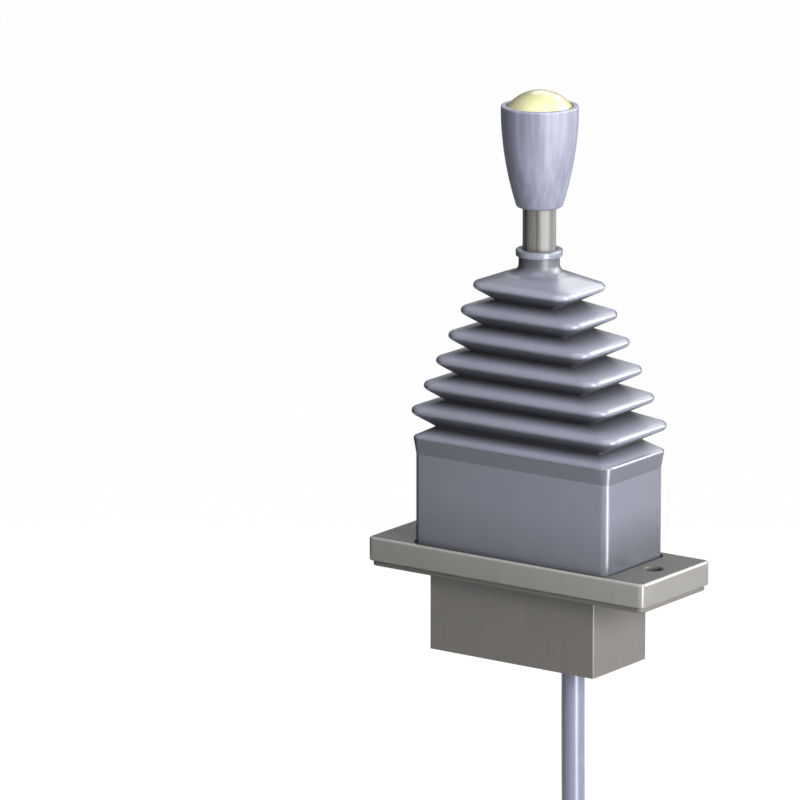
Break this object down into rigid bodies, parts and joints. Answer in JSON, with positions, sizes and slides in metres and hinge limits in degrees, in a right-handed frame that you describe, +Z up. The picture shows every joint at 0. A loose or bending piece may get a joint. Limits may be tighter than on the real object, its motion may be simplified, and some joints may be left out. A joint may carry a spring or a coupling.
{
  "type": "industrial joystick",
  "caption": "Single-axis industrial joystick with a tapered rubber bellows, a push-button grip, a panel flange and a hanging cable with a sealed connector.",
  "frame": {"origin": "centre of the two mounting holes, in the panel plane under the gasket", "axes": "+X along the flange, the way the lever swings; +Y across it; +Z up, away from the panel"},
  "size_m": [0.12, 0.044, 0.4499],
  "materials": {
    "flange_metal": "satin warm grey",
    "housing_metal": "satin warm grey",
    "gasket_rubber": "matte",
    "frame_plastic": "moulded, matte",
    "screw_steel": "zinc plated",
    "bumper_rubber": "matte",
    "bush_bronze": "sintered bronze",
    "plated_steel": "zinc plated",
    "boot_rubber": "satin blue grey",
    "board_laminate": "solder mask",
    "chip_plastic": "moulded",
    "plug_plastic": "natural nylon",
    "core_insulation": "thin coloured insulation",
    "grommet_rubber": "matte",
    "cable_jacket": "satin blue grey",
    "seal_rubber": "satin",
    "connector_plastic": "moulded grey",
    "wedge_plastic": "moulded orange",
    "contact_brass": "tin flash",
    "hub_steel": "machined",
    "shaft_steel": "turned and brushed",
    "washer_plastic": "acetal",
    "spring_steel": "spring wire",
    "holder_plastic": "moulded",
    "magnet_metal": "nickel plated",
    "grip_plastic": "satin blue grey",
    "button_plastic": "pale yellow"
  },
  "bodies": {
    "base": {"mounting_flange": "flange_metal", "flange_gasket": "gasket_rubber", "support_frame": "frame_plastic", "frame_screws": "screw_steel", "stop_bumpers": "bumper_rubber", "bearing_bush_left": "bush_bronze", "bearing_bush_right": "bush_bronze", "spring_anchor": "plated_steel", "bellows_boot": "boot_rubber", "lower_housing": "housing_metal", "housing_screws": "screw_steel", "circuit_board": "board_laminate", "board_screws": "screw_steel", "hall_sensors": "chip_plastic", "lead_plug": "plug_plastic", "board_header": "plug_plastic", "inner_cores": "core_insulation", "cable_grommet": "grommet_rubber", "cable_retainer": "plated_steel", "cable": "cable_jacket", "conductor_wires": "core_insulation", "connector_seal": "seal_rubber", "connector_body": "connector_plastic", "connector_latch": "connector_plastic", "connector_wedge": "wedge_plastic", "connector_contacts": "contact_brass"},
    "lever": {"lever_hub": "hub_steel", "pivot_shaft": "shaft_steel", "pivot_pin": "plated_steel", "thrust_washers": "washer_plastic", "centring_spring": "spring_steel", "magnet_holder": "holder_plastic", "magnet": "magnet_metal", "lever_shaft": "shaft_steel", "shaft_pin": "plated_steel", "handle_grip": "grip_plastic", "grip_insert": "contact_brass", "switch_carrier": "holder_plastic", "switch_body": "chip_plastic", "switch_terminals": "contact_brass", "switch_leads": "core_insulation"},
    "button": {"push_button_cap": "button_plastic", "switch_plunger": "holder_plastic", "contact_bridge": "contact_brass", "button_spring": "spring_steel"}
  },
  "joints": [
    {"name": "lever_tilt", "type": "hinge", "parent": "base", "child": "lever", "pos_m": [0, 0, 0.027], "axis": [0, 1, 0], "range_deg": [-20, 20], "stiffness_Nm_per_rad": 3, "deforming": ["bellows_boot", "centring_spring", "switch_leads"]},
    {"name": "button_press", "type": "slide", "parent": "lever", "child": "button", "axis": [0, 0, -1], "range_m": [0, 0.002], "stiffness_N_per_m": 900, "springref_m": -0.001, "deforming": ["button_spring"]}
  ]
}
